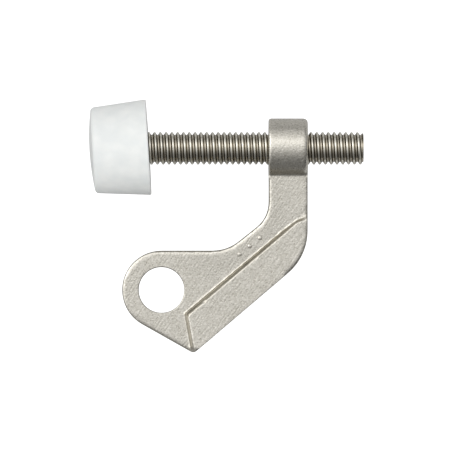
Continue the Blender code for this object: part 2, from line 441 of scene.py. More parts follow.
@dataclass(frozen=True)
class SatinNickel:
    """Satin nickel plate over a die-cast zinc body, tumbled before it was plated.

    The plate gives a warm grey metal with wide soft highlights. The tumbling leaves a fine even grain and
    short strokes on the flats, and the casting leaves broad shallow unevenness. On the walls round the
    recess, on the outer sides and in the pin hole the colour is darkened as painted shade. Both the grain and
    the strokes are drawn coarser than real ones, which would be too fine to show.
    """

    name: str = "satin_nickel_on_zinc_casting"
    light_tone: str = "efebe2"
    dark_tone: str = "c3bfb3"
    painted_shade_tone: str = "a09a8c"
    tone_stops: tuple[float, float] = (0.3, 0.7)
    grain_share: float = 0.85
    roughness: float = 0.29
    roughness_swing: float = 0.05
    grain_mm: float = 0.38
    stroke_mm: float = 0.40
    stroke_length: float = 9.0
    stroke_angle: float = math.radians(55)
    cast_mm: float = 3.2
    grain_depth_mm: float = 0.055
    cast_depth_mm: float = 0.03

    def build(self) -> bpy.types.Material:
        """Build the material.

        Returns:
            The material.
        """
        material, tree, shader = blank_material(self.name)
        place = add_node(tree, "TexCoord").outputs["Object"]
        grain_scale, cast_scale = per_feature(self.grain_mm), per_feature(self.cast_mm)
        grain = add_node(tree, "TexNoise", {"Vector": place, "Scale": grain_scale, "Detail": 2.0})
        cast = add_node(tree, "TexNoise", {"Vector": place, "Scale": cast_scale, "Detail": 3.0})
        turn = add_node(tree, "Mapping", {"Vector": place, "Rotation": (0, 0, -self.stroke_angle)})
        stretch = (1 / self.stroke_length, 1, 1)
        squeeze = add_node(tree, "Mapping", {"Vector": turn.outputs[0], "Scale": stretch})
        strokes = add_node(
            tree,
            "TexNoise",
            {"Vector": squeeze.outputs[0], "Scale": per_feature(self.stroke_mm), "Detail": 1.0},
        )
        cast_part = {0: cast.outputs["Fac"], 1: 1 - self.grain_share}
        broad_part = add_node(tree, "Math", cast_part, operation="MULTIPLY")
        both_parts = {0: grain.outputs["Fac"], 1: self.grain_share, 2: broad_part.outputs[0]}
        speckle = add_node(tree, "Math", both_parts, operation="MULTIPLY_ADD")
        tone = add_node(tree, "ValToRGB", {"Fac": speckle.outputs[0]})
        set_ramp(tone, list(zip(self.tone_stops, map(linear_colour, (self.dark_tone, self.light_tone)))))
        # Painted shade: the colour is mixed towards a darker tone where the attribute says so.
        painted_shade = add_node(tree, "Attribute", attribute_name=PAINTED_SHADE)
        tone_with_painted_shade = add_node(
            tree,
            "Mix",
            {0: painted_shade.outputs["Fac"], 6: tone.outputs["Color"], 7: linear_colour(self.painted_shade_tone)},
            data_type="RGBA",
        )
        low, high = self.roughness - self.roughness_swing, self.roughness + self.roughness_swing
        spread = add_node(tree, "MapRange", {"Value": grain.outputs["Fac"], 3: low, 4: high})
        marks = add_node(tree, "Math", {0: grain.outputs["Fac"], 1: strokes.outputs["Fac"]}, operation="ADD")
        broad = add_node(
            tree,
            "Bump",
            {"Height": cast.outputs["Fac"], "Distance": self.cast_depth_mm * MM, "Strength": 1.0},
        )
        fine = add_node(
            tree,
            "Bump",
            {
                "Height": marks.outputs[0],
                "Distance": self.grain_depth_mm * MM,
                "Strength": 1.0,
                "Normal": broad.outputs[0],
            },
        )
        skin = {
            "Base Color": tone_with_painted_shade.outputs[2],
            "Roughness": spread.outputs[0],
            "Normal": fine.outputs[0],
            "Metallic": 1.0,
        }
        feed(tree, shader, skin)
        return material


@dataclass(frozen=True)
class RolledNickel:
    """Bright nickel plate over a rolled steel thread.

    Rolling burnishes the crests and the roots, and the roughness falls from the roots to the crests. The
    colour is darker brown-grey on the flanks between them, as painted shade, and lighter on the crests and
    the roots. The grain is drawn coarser than the real one, which would be too fine to show.
    """

    name: str = "nickel_plate_on_rolled_steel"
    crest_tone: str = "efebdf"
    root_tone: str = "c6bfb0"
    flank_painted_shade_tone: str = "777060"
    tone_stops: tuple[float, float, float, float] = (0.03, 0.2, 0.6, 0.85)
    crest_roughness: float = 0.13
    root_roughness: float = 0.2
    grain_mm: float = 0.16
    grain_depth_mm: float = 0.004

    def build(self, axis: Vector, root: float, crest: float) -> bpy.types.Material:
        """Build the material.

        Args:
            axis: A point on the screw's axis.
            root: The thread's root radius.
            crest: The thread's crest radius.

        Returns:
            The material.
        """
        material, tree, shader = blank_material(self.name)
        place = add_node(tree, "TexCoord").outputs["Object"]
        from_axis = add_node(tree, "VectorMath", {0: place, 1: axis}, operation="SUBTRACT")
        square_on = {0: from_axis.outputs[0], 1: (0, 1, 1)}
        across = add_node(tree, "VectorMath", square_on, operation="MULTIPLY")
        radius = add_node(tree, "VectorMath", {0: across.outputs[0]}, operation="LENGTH")
        height = add_node(tree, "MapRange", {"Value": radius.outputs["Value"], 1: root, 2: crest})
        # The colour follows the radius: lighter at the roots and crests, darker on the flanks as painted
        # shade.
        tone = add_node(tree, "ValToRGB", {"Fac": height.outputs[0]})
        tones_with_painted_shade = (self.root_tone, self.flank_painted_shade_tone, self.flank_painted_shade_tone, self.crest_tone)
        set_ramp(tone, list(zip(self.tone_stops, map(linear_colour, tones_with_painted_shade))))
        polish = add_node(
            tree,
            "MapRange",
            {"Value": height.outputs[0], 3: self.root_roughness, 4: self.crest_roughness},
        )
        grain_scale = per_feature(self.grain_mm)
        grain = add_node(tree, "TexNoise", {"Vector": place, "Scale": grain_scale, "Detail": 2.0})
        bump = add_node(
            tree,
            "Bump",
            {"Height": grain.outputs["Fac"], "Distance": self.grain_depth_mm * MM, "Strength": 1.0},
        )
        skin = {
            "Base Color": tone.outputs["Color"],
            "Roughness": polish.outputs[0],
            "Normal": bump.outputs[0],
            "Metallic": 1.0,
        }
        feed(tree, shader, skin)
        return material


@dataclass(frozen=True)
class WhiteVinyl:
    """Soft white PVC, injection moulded in a fine-blasted tool.

    The blasted tool leaves a matt skin with a faint speckle, which is drawn coarse enough to show. The vinyl
    is slightly translucent, which softens the shade along its edges.
    """

    name: str = "soft_white_pvc_moulded"
    tone: str = "eef0ee"
    shade_tone: str = "e6e9e8"
    tone_stops: tuple[float, float] = (0.35, 0.65)
    roughness: float = 0.46
    refraction: float = 1.53
    speckle_mm: float = 0.35
    mottle_mm: float = 4.0
    speckle_depth_mm: float = 0.006
    translucence: float = 0.25
    depth_mm: float = 1.2
    depth_by_colour: tuple[float, float, float] = (1.0, 0.95, 0.9)

    def build(self) -> bpy.types.Material:
        """Build the material.

        Returns:
            The material.
        """
        material, tree, shader = blank_material(self.name)
        place = add_node(tree, "TexCoord").outputs["Object"]
        mottle_scale, speckle_scale = per_feature(self.mottle_mm), per_feature(self.speckle_mm)
        mottle = add_node(tree, "TexNoise", {"Vector": place, "Scale": mottle_scale, "Detail": 2.0})
        speckle = add_node(tree, "TexNoise", {"Vector": place, "Scale": speckle_scale, "Detail": 2.0})
        tone = add_node(tree, "ValToRGB", {"Fac": mottle.outputs["Fac"]})
        set_ramp(tone, list(zip(self.tone_stops, map(linear_colour, (self.shade_tone, self.tone)))))
        bump = add_node(
            tree,
            "Bump",
            {"Height": speckle.outputs["Fac"], "Distance": self.speckle_depth_mm * MM, "Strength": 1.0},
        )
        skin = {
            "Base Color": tone.outputs["Color"],
            "Normal": bump.outputs[0],
            "Roughness": self.roughness,
            "IOR": self.refraction,
            "Subsurface Weight": self.translucence,
            "Subsurface Radius": self.depth_by_colour,
            "Subsurface Scale": self.depth_mm * MM,
        }
        feed(tree, shader, skin)
        return material


@dataclass(frozen=True)
class PaperSweep:
    """Matt white background paper, uncoated, with no sheen, on a light table that lifts it to white."""

    name: str = "white_background_paper"
    tone: str = "bababa"
    glow_tone: str = "fdfdfd"
    glow: float = 1.0

    def build(self) -> bpy.types.Material:
        """Build the material.

        Returns:
            The material.
        """
        material, tree, shader = blank_material(self.name)
        matt = {"Base Color": linear_colour(self.tone), "Roughness": 1.0, "Specular IOR Level": 0.0}
        feed(tree, shader, matt)
        seen = add_node(tree, "LightPath").outputs["Is Camera Ray"]
        glow = add_node(tree, "Emission", {"Color": linear_colour(self.glow_tone), "Strength": self.glow})
        nothing = add_node(tree, "Emission", {"Strength": 0.0})
        lit = add_node(tree, "MixShader", {0: seen, 1: nothing.outputs[0], 2: glow.outputs[0]})
        both = add_node(tree, "AddShader", {0: shader.outputs[0], 1: lit.outputs[0]})
        tree.links.new(both.outputs[0], tree.nodes["Material Output"].inputs["Surface"])
        return material


# ---------------------------------------------------------------- the thread


@dataclass(frozen=True)
class Thread:
    """A right-handed 60 degree thread on the screw's axis, always in the same phase.

    Args:
        layout: Where the axis is, and the pitch.
        crest: The thread's crest radius.
        crest_width: Width of its crests before they are rounded.
        depth: Depth from crest to root; rolling leaves it a little short of the basic form's.
        crest_rounding: Radius on the crests' edges.
        root_rounding: Radius in the roots' corners.
        crest_middle: Where a crest's middle lies under the axis, in pitches.
        flank_angle: How far each flank leans from square to the axis.
        steps: Steps in a turn.
    """

    layout: Layout
    crest: float = 5 / 16 * INCH / 2
    crest_width: float = 0.36 * MM
    depth: float = 0.64 * MM
    crest_rounding: float = 0.14 * MM
    root_rounding: float = 0.08 * MM
    crest_middle: float = 0.56
    flank_angle: float = math.radians(30)
    steps: int = 48

    def profile(self, growth: float) -> list[Vector]:
        """One pitch of the form, as points of (distance along the axis, radius).

        Args:
            growth: What is added to every radius.

        Returns:
            The points, from the middle of one root to the middle of the next.
        """
        pitch = self.layout.pitch
        crest = self.crest + growth
        root = crest - self.depth
        flank = self.depth * math.tan(self.flank_angle)
        half_root = (pitch - self.crest_width) / 2 - flank
        middle = self.crest_middle * pitch
        corners = (
            (middle - pitch / 2, root, 0),
            (middle - pitch / 2 + half_root, root, self.root_rounding),
            (middle - self.crest_width / 2, crest, self.crest_rounding),
            (middle + self.crest_width / 2, crest, self.crest_rounding),
            (middle + pitch / 2 - half_root, root, self.root_rounding),
            (middle + pitch / 2, root, 0),
        )
        return rounded_path(corners, closed=False, arc_step=math.radians(24))

    def rod(self, start: float, end: float, growth: float) -> bmesh.types.BMesh:
        """Wind the thread from start to end along X, with both ends left open.

        Args:
            start: Where the thread starts.
            end: Where it ends.
            growth: What is added to every radius.

        Returns:
            The thread's surface.
        """
        axis, pitch = self.layout.axis, self.layout.pitch
        shape = bmesh.new()
        line = [shape.verts.new((along, axis.y, axis.z - radius)) for along, radius in self.profile(growth)]
        edges = [shape.edges.new(pair) for pair in zip(line, line[1:])]
        bmesh.ops.spin(
            shape,
            geom=line + edges,
            cent=axis,
            axis=(1, 0, 0),
            dvec=(pitch / self.steps, 0, 0),
            angle=math.tau,
            steps=self.steps,
        )
        one_turn = list(shape.verts) + list(shape.edges) + list(shape.faces)
        # There are turns to spare at both ends, which are sliced off below.
        first = math.floor(start / pitch) - 2
        last = math.ceil(end / pitch) + 1
        for turn in range(first, last):
            copy = bmesh.ops.duplicate(shape, geom=one_turn)["geom"]
            bmesh.ops.translate(shape, verts=verts_in(copy), vec=(turn * pitch, 0, 0))
        bmesh.ops.delete(shape, geom=verts_in(one_turn))
        bmesh.ops.remove_doubles(shape, verts=shape.verts, dist=WELD)
        slice_off(shape, Vector((start, 0, 0)), Vector((-1, 0, 0)), close=False)
        slice_off(shape, Vector((end, 0, 0)), Vector((1, 0, 0)), close=False)
        bmesh.ops.recalc_face_normals(shape, faces=shape.faces)
        return shape


# ---------------------------------------------------------------- the bracket


@dataclass
class CastBracket:
    """The die-cast bracket: ring and hinge plate, raised block, web, arm and threaded boss.

    Args:
        layout: Places and sizes read from the frame.
        thread: The screw's thread, which the boss is tapped for.
    """

    layout: Layout
    thread: Thread
    pin_hole_radius: float = 7 / 32 * INCH
    hole_lip: float = 0.25 * MM
    tail_angle: float = math.radians(29.4)
    tip_radius: float = 0.6 * MM
    block_width: float = 7.85 * MM
    block_end_offset: float = 5.2 * MM
    block_end_angle: float = math.radians(10.4)
    end_draft: float = math.radians(15)
    end_lip: float = 0.3 * MM
    end_lip_tilt: float = math.radians(65)
    step_draft: float = math.radians(4)
    step_slope: float = 0.75 * MM
    step_slope_tilt: float = math.radians(45)
    bend_length: float = 2.5 * MM
    bend_angle: float = math.radians(23)
    nose_cut: float = 0.3 * MM
    heel_radius: float = 13.5 * MM
    arm_width: float = 9.5 * MM
    web_offset: float = 2.45 * MM
    web_angle: float = math.radians(38.5)
    knee_radius: float = 10.2 * MM
    elbow_radius: float = 7.7 * MM
    ramp_length: float = 28.4 * MM
    ramp_blend: float = 70 * MM
    boss_length: float = 9.6 * MM
    boss_rounding: tuple[float, float] = (0.65 * MM, 1.05 * MM)
    boss_steps: int = 120
    pin_hole_steps: int = 128
    mouth_steps: int = 96
    tap_growth: float = 0.15 * MM
    countersink: float = 0.4 * MM
    voxel: float = 0.2 * MM
    skin_rounds: int = 2
    rim_rounds: int = 27
    rim_reach: float = 1.2 * MM
    # The next seven values place the painted shade on the walls, the outer sides and the pin hole.
    painted_shade_reach: float = 1.3 * MM
    painted_shade_rim: float = 0.2 * MM
    end_painted_shade: float = 0.4
    side_painted_shade: float = 0.75
    side_flat: float = 0.8
    painted_shade_flat: float = 0.98
    painted_shade_range: float = 0.25
    unevenness: float = 0.012 * MM
    unevenness_size: float = 4.0 * MM
    unevenness_octaves: int = 2
    nick_place: tuple[float, float] = (10.45 * MM, -2.85 * MM)
    nick_size: tuple[float, float, float] = (1.3 * MM, 0.55 * MM, 0.5 * MM)
    pip_radius: float = 0.55 * MM
    pip_height: float = 0.22 * MM
    pip_spacing: float = 3.2 * MM
    pip_middle: tuple[float, float] = (21.5 * MM, 10.7 * MM)
    overshoot: float = 1.0 * MM

    @property
    def boss_left(self) -> float:
        """The boss's end face towards the bumper."""
        return self.layout.boss_right - self.boss_length

    @property
    def arm_right(self) -> float:
        """The arm's side towards the screw's free end, just inside the boss's end face."""
        return self.layout.boss_right - (self.boss_length - self.arm_width) / 2

    @staticmethod
    def side_line(angle: float, offset: float) -> tuple[Vector, float]:
        """A line that rises at an angle and passes offset to the right of the pin's axis."""
        return Vector((math.sin(angle), -math.cos(angle))), offset

    @staticmethod
    def crossing(first: tuple[Vector, float], second: tuple[Vector, float]) -> tuple[float, float]:
        """Find where two lines meet.

        Args:
            first: A line's normal and its distance from the origin.
            second: Another line's.

        Returns:
            The point's two coordinates.
        """
        (a, b), c = first
        (d, e), f = second
        scale = a * e - b * d
        return (c * e - b * f) / scale, (a * f - c * d) / scale

    def outline(self) -> list[Vector]:
        """The bracket seen from above, from its tip along the long edge, up the arm and back round the ring.

        Returns:
            The outline's points.
        """
        place = self.layout
        tail = Vector((-math.sin(self.tail_angle), -math.cos(self.tail_angle))), place.ring_radius
        long_edge = self.side_line(place.long_edge_angle, place.long_edge)
        web_edge = self.side_line(self.web_angle, self.web_offset)
        right = Vector((1, 0)), self.arm_right
        left = Vector((1, 0)), self.arm_right - self.arm_width
        top_edge = Vector((0, 1)), place.ring_radius
        corners = (
            (*self.crossing(tail, long_edge), self.tip_radius),
            (*self.crossing(long_edge, right), self.heel_radius),
            (self.arm_right, place.axis.y, 0),
            (self.arm_right - self.arm_width, place.axis.y, 0),
            (*self.crossing(left, web_edge), self.elbow_radius),
            (*self.crossing(web_edge, top_edge), self.knee_radius),
            (*self.crossing(top_edge, tail), place.ring_radius),
        )
        return rounded_path(corners, closed=True, arc_step=math.radians(3))

    def wall_lines(self) -> tuple[tuple[Vector, float], ...]:
        """The top edges of the walls round the recess, as each line's normal and its distance from the axis.

        Returns:
            The long step, its flatter last stretch on the arm, and the end wall beside the ring.
        """
        place = self.layout
        step = self.side_line(place.long_edge_angle, place.long_edge - self.block_width)
        start = Vector((1, 0)), self.arm_right - self.bend_length
        bend_normal, _ = self.side_line(self.bend_angle, 0)
        bend = bend_normal, Vector(self.crossing(step, start)).dot(bend_normal)
        end_normal = Vector((math.cos(self.block_end_angle), math.sin(self.block_end_angle)))
        return step, bend, (end_normal, self.block_end_offset)

    def block_wedge(self) -> bmesh.types.BMesh:
        """The solid that the block's two walls bound, which the recess leaves standing.

        The wall along the step slopes at 45 degrees first and then drops; the end wall drops from a soft lip.

        Returns:
            The solid.
        """
        place = self.layout
        reach = 3 * place.axis.y
        square = ((-reach, -reach), (reach, -reach), (reach, reach), (-reach, reach))
        bottom = Matrix.Translation((0, 0, place.plate_top - self.overshoot))
        top = place.block_top + 2 * self.overshoot
        shape = prism(square, Vector((0, 0, top - bottom.translation.z)), bottom)
        (step_normal, step_top), (bend_normal, bend_top), (end_normal, end_top) = self.wall_lines()
        nose = Vector(self.crossing((step_normal, step_top), (end_normal, end_top)))
        nose_normal = (step_normal + end_normal).normalized()
        slope = self.step_slope_tilt
        foot = step_top - self.step_slope / math.tan(slope)
        walls = (
            (step_normal, step_top, 0.0, slope),
            (bend_normal, bend_top, 0.0, slope),
            (nose_normal, nose.dot(nose_normal) + self.nose_cut, 0.0, slope),
            (step_normal, foot, self.step_slope, self.step_draft),
            (end_normal, end_top, 0.0, self.end_draft),
            (end_normal, end_top + self.end_lip, 0.0, self.end_lip_tilt),
        )
        for normal, offset, down, draft in walls:
            spot = Vector((*(normal * offset), place.block_top - down))
            slice_off(shape, spot, Vector((*-normal, math.tan(draft))))
        bmesh.ops.recalc_face_normals(shape, faces=shape.faces)
        return shape

    def recess(self) -> bmesh.types.BMesh:
        """What is taken off above the plate, the web and the arm, up to the block's two walls.

        Returns:
            The cutter, whose floor rises gently from the ring to the arm.
        """
        place = self.layout
        reach = 2 * place.axis.y
        top = place.block_top + self.overshoot
        corners = (
            (-reach, place.plate_top, 0),
            (place.ring_radius, place.plate_top, self.ramp_blend),
            (place.ring_radius + self.ramp_length, place.arm_top, self.ramp_blend),
            (reach, place.arm_top, 0),
            (reach, top, 0),
            (-reach, top, 0),
        )
        side_view = rounded_path(corners, closed=True, arc_step=math.radians(0.6))
        turn = Matrix.Rotation(place.long_edge_angle, 4, "Z") @ Matrix.Rotation(QUARTER_TURN, 4, "X")
        across = turn.to_3x3() @ Vector((0, 0, reach))
        thing = to_object(prism(side_view, 2 * across, Matrix.Translation(-across) @ turn), "recess")
        combine(thing, "DIFFERENCE", [self.block_wedge()])
        return from_object(thing)

    def boss(self) -> bmesh.types.BMesh:
        """The boss as a plain drum with rounded ends, the right one more than the left."""
        place = self.layout
        at_left, at_right = self.boss_rounding
        corners = (
            (0, place.boss_right, 0),
            (place.boss_radius, place.boss_right, at_right),
            (place.boss_radius, self.boss_left, at_left),
            (0, self.boss_left, 0),
        )
        profile = rounded_path(corners, closed=False, arc_step=math.radians(10))
        return turned(profile, place.along_screw(), self.boss_steps)

    def pin_hole(self) -> bmesh.types.BMesh:
        """The cutter for the hinge pin's hole, which leaves a rounded lip at both faces."""
        top = self.layout.plate_top
        wide = self.pin_hole_radius + self.hole_lip
        corners = (
            (0, top + self.overshoot, 0),
            (wide + self.overshoot, top + self.overshoot, 0),
            (wide + self.overshoot, top, 0),
            (self.pin_hole_radius, top, self.hole_lip),
            (self.pin_hole_radius, 0, self.hole_lip),
            (wide + self.overshoot, 0, 0),
            (wide + self.overshoot, -self.overshoot, 0),
            (0, -self.overshoot, 0),
        )
        profile = rounded_path(corners, closed=False, arc_step=math.radians(20))
        return turned(profile, Matrix(), self.pin_hole_steps)

    def bore_mouth(self, side: Side) -> bmesh.types.BMesh:
        """The cone that opens the tapped hole at one face of the boss.

        Args:
            side: Which face.

        Returns:
            The cutter.
        """
        place = self.layout
        face = self.boss_left if side is Side.LEFT else place.boss_right
        mouth = self.thread.crest + self.tap_growth + self.countersink
        profile = ((0, self.overshoot), (mouth + self.overshoot, self.overshoot), (0, -mouth))
        turn = Matrix.Rotation(side.value * QUARTER_TURN, 4, "Y")
        to_face = Matrix.Translation(place.axis + Vector((face, 0, 0)))
        return turned(profile, to_face @ turn, self.mouth_steps)

    def tap(self) -> bmesh.types.BMesh:
        """The cutter that leaves the thread in the boss."""
        start, end = self.boss_left - self.overshoot, self.layout.boss_right + self.overshoot
        shape = self.thread.rod(start, end, self.tap_growth)
        fill_holes(shape)
        bmesh.ops.recalc_face_normals(shape, faces=shape.faces)
        return shape

    def nick(self) -> bmesh.types.BMesh:
        """The cutter for a small knock in the block's top edge."""
        shape = bmesh.new()
        bmesh.ops.create_uvsphere(shape, u_segments=16, v_segments=10, radius=0.5)
        bmesh.ops.scale(shape, verts=shape.verts, vec=self.nick_size)
        turn = Matrix.Rotation(self.layout.long_edge_angle, 4, "Z")
        spot = Vector((*self.nick_place, self.layout.block_top))
        bmesh.ops.transform(shape, matrix=Matrix.Translation(spot) @ turn, verts=shape.verts)
        return shape

    def pips(self, ground: float) -> list[bmesh.types.BMesh]:
        """Three plain raised pips in a row on the web, such as a mould cavity's mark.

        Args:
            ground: Height of the web's top under the middle pip.

        Returns:
            The pips.
        """
        slope = Vector((math.cos(self.web_angle), math.sin(self.web_angle)))
        rise = (self.layout.arm_top - self.layout.plate_top) / self.ramp_length
        shapes = []
        for place in (-1, 0, 1):
            spot = Vector(self.pip_middle) + slope * place * self.pip_spacing
            shape = bmesh.new()
            bmesh.ops.create_uvsphere(shape, u_segments=24, v_segments=12, radius=self.pip_radius)
            bmesh.ops.scale(shape, verts=shape.verts, vec=(1, 1, self.pip_height / self.pip_radius))
            height = ground + rise * place * self.pip_spacing
            bmesh.ops.translate(shape, verts=shape.verts, vec=(spot.x, spot.y, height))
            shapes.append(shape)
        return shapes

    def web_height(self) -> float:
        """Height of the web's top under the middle pip."""
        place = self.layout
        uphill = Vector((math.cos(place.long_edge_angle), math.sin(place.long_edge_angle)))
        share = (Vector(self.pip_middle).dot(uphill) - place.ring_radius) / self.ramp_length
        return place.plate_top + share * (place.arm_top - place.plate_top)

    def tumbled_rim(self, shape: bmesh.types.BMesh) -> list[bmesh.types.BMVert]:
        """Find the skin near the outline, which tumbling rounds most.

        The long edge is left out, because it is trimmed square, and so is the boss, which has its own
        rounding.

        Args:
            shape: The bracket's skin.

        Returns:
            The skin's points near the rim.
        """
        place = self.layout
        normal, offset = self.side_line(place.long_edge_angle, place.long_edge)
        path = self.outline()
        spots = []
        for start, end in zip(path, path[1:] + path[:1]):
            count = max(1, math.ceil((end - start).length / self.voxel))
            spots += [start.lerp(end, step / count) for step in range(count)]
        boss_foot = place.axis.y - place.boss_radius - self.rim_reach
        kept = [spot for spot in spots if spot.dot(normal) < offset - WELD and spot.y < boss_foot]
        tree = kdtree.KDTree(len(kept))
        for index, spot in enumerate(kept):
            tree.insert((*spot, 0), index)
        tree.balance()
        return [vert for vert in shape.verts if tree.find((vert.co.x, vert.co.y, 0))[2] < self.rim_reach]

    def painted_shade_at(self, spot: Vector, normal: Vector, walls: Sequence[tuple[Vector, float]]) -> float:
        """How much painted shade darkens the plate at a point: most on the walls round the recess, less on
        the outer sides.

        Args:
            spot: The point.
            normal: The way the skin faces there.
            walls: The lines that wall_lines gives.

        Returns:
            From 0, with no painted shade, to 1.
        """
        place = self.layout
        boss_foot = place.axis.y - place.boss_radius
        plan = spot.to_2d()
        past_step, past_bend, past_end = (plan.dot(line) - offset for line, offset in walls)
        is_end = past_end < min(past_step, past_bend)
        rim = self.painted_shade_rim - (self.end_lip if is_end else 0)
        is_near = -self.painted_shade_reach < min(past_step, past_bend, past_end) < rim
        if plan.length < self.pin_hole_radius + self.hole_lip:
            # Painted shade on the hole's steep wall, full on the side towards the screw and fading to none on
            # the far side.
            steepness = (self.painted_shade_flat - abs(normal.z)) / self.painted_shade_range
            share = 0.5 + 0.5 * plan.y / plan.length
        elif is_near and spot.z > place.plate_top - self.voxel:
            steepness = (self.painted_shade_flat - normal.z) / self.painted_shade_range
            share = self.end_painted_shade if is_end else 1
        else:
            steepness = (self.side_flat - abs(normal.z)) / self.painted_shade_range
            share = self.side_painted_shade if spot.y < boss_foot else 0
        return min(1.0, max(0.0, steepness)) * share

    def mark_painted_shade(self, thing: bpy.types.Object) -> None:
        """Give the bracket's object the attribute that says where painted shade darkens its plate."""
        walls = self.wall_lines()
        values = [self.painted_shade_at(vert.co, vert.normal, walls) for vert in thing.data.vertices]
        marks = thing.data.attributes.new(PAINTED_SHADE, "FLOAT", "POINT")
        marks.data.foreach_set("value", values)

    def cast_skin(self, thing: bpy.types.Object) -> None:
        """Give the sharp body a casting's soft edges and slightly uneven skin.

        Args:
            thing: The bracket's object, whose mesh is remade.
        """
        remesh = thing.modifiers.new("skin", "REMESH")
        remesh.mode = "VOXEL"
        remesh.voxel_size = self.voxel
        apply_modifiers(thing)
        shape = bmesh.new()
        shape.from_mesh(thing.data)
        rim = self.tumbled_rim(shape)
        for verts, rounds in ((rim, self.rim_rounds), (list(shape.verts), self.skin_rounds)):
            for _ in range(rounds):
                bmesh.ops.smooth_vert(
                    shape, verts=verts, factor=0.5, use_axis_x=True, use_axis_y=True, use_axis_z=True
                )
        shape.normal_update()
        for vert in shape.verts:
            lift = noise.fractal(vert.co / self.unevenness_size, 1.0, 2.0, self.unevenness_octaves)
            vert.co += vert.normal * (lift - 1) * 0.5 * self.unevenness
        shape.to_mesh(thing.data)
        shape.free()

    def build(self) -> bpy.types.Object:
        """Build the bracket.

        Returns:
            The finished piece.
        """
        body = prism(self.outline(), Vector((0, 0, self.layout.block_top)), Matrix())
        thing = to_object(body, "bracket_casting")
        combine(thing, "DIFFERENCE", [self.recess(), self.nick()])
        combine(thing, "UNION", [self.boss()])
        self.cast_skin(thing)
        combine(thing, "UNION", self.pips(self.web_height()))
        mouths = [self.bore_mouth(side) for side in Side]
        combine(thing, "DIFFERENCE", [self.pin_hole(), self.tap(), *mouths])
        # Mark where painted shade darkens the plate's colour.
        self.mark_painted_shade(thing)
        smooth_shading(thing)
        thing.data.materials.append(SatinNickel().build())
        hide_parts("hinge_bracket")
        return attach(thing, Body.BRACKET.value)


# ---------------------------------------------------------------- the screw


@dataclass
class AdjustingScrew:
    """The threaded rod, with the neck and flat head that the bumper is pushed over.

    Args:
        layout: Places and sizes read from the frame.
        thread: The thread's form.
    """

    layout: Layout
    thread: Thread
    thread_start: float = -5.0 * MM
    end_chamfer: float = 0.5 * MM
    neck_radius: float = 3.1 * MM
    head_rounding: float = 0.3 * MM
    head_centre_share: float = 0.3

    def chamfer_end(self, shape: bmesh.types.BMesh) -> None:
        """Draw the thread in to a cone over the last of the free end.

        Args:
            shape: The thread's surface.
        """
        axis = self.layout.axis
        for vert in shape.verts:
            past = vert.co.x - (self.layout.screw_end - self.end_chamfer)
            across = vert.co - Vector((vert.co.x, axis.y, axis.z))
            limit = self.thread.crest - past
            if past > 0 and across.length > limit:
                vert.co -= across * (1 - limit / across.length)

    def extend_rim(
        self, shape: bmesh.types.BMesh, rim: list[bmesh.types.BMEdge], along: float, radius: float
    ) -> list[bmesh.types.BMEdge]:
        """Draw an open round rim out to the next ring of a turned form.

        Args:
            shape: The mesh.
            rim: The rim's edges.
            along: Where the new ring lies along X.
            radius: The new ring's radius.

        Returns:
            The new rim's edges.
        """
        axis = self.layout.axis
        grown = bmesh.ops.extrude_edge_only(shape, edges=rim)["geom"]
        for vert in verts_in(grown):
            spoke = Vector((0, vert.co.y - axis.y, vert.co.z - axis.z)).normalized()
            vert.co = Vector((along, axis.y, axis.z)) + spoke * radius
        return [item for item in grown if isinstance(item, bmesh.types.BMEdge) and item.is_boundary]

    def head_profile(self) -> list[Vector]:
        """The neck and head as points of (distance along X, radius), from the thread to the head's face."""
        front = self.layout.screw_start
        back = front + HEAD_THICKNESS
        radius = self.layout.head_radius
        corners = (
            (self.thread_start, self.neck_radius, 0),
            (back, self.neck_radius, 0),
            (back, radius, self.head_rounding),
            (front, radius, self.head_rounding),
            (front, self.head_centre_share * radius, 0),
        )
        return rounded_path(corners, closed=False, arc_step=math.radians(23))

    def build(self) -> bpy.types.Object:
        """Build the screw.

        Returns:
            The finished piece.
        """
        shape = self.thread.rod(self.thread_start, self.layout.screw_end, 0)
        self.chamfer_end(shape)
        rim = [edge for edge in shape.edges if edge.is_boundary and self.is_at_start(edge)]
        for along, radius in self.head_profile():
            rim = self.extend_rim(shape, rim, along, radius)
        fill_holes(shape)
        bmesh.ops.remove_doubles(shape, verts=shape.verts, dist=WELD)
        bmesh.ops.recalc_face_normals(shape, faces=shape.faces)
        thing = to_object(shape, "threaded_rod")
        smooth_shading(thing)
        root = self.thread.crest - self.thread.depth
        thing.data.materials.append(RolledNickel().build(self.layout.axis, root, self.thread.crest))
        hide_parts("adjusting_screw")
        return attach(thing, Body.SCREW.value)

    def is_at_start(self, edge: bmesh.types.BMEdge) -> bool:
        """Tell whether an edge lies at the thread's start."""
        return all(abs(vert.co.x - self.thread_start) < WELD for vert in edge.verts)


# ---------------------------------------------------------------- the bumper


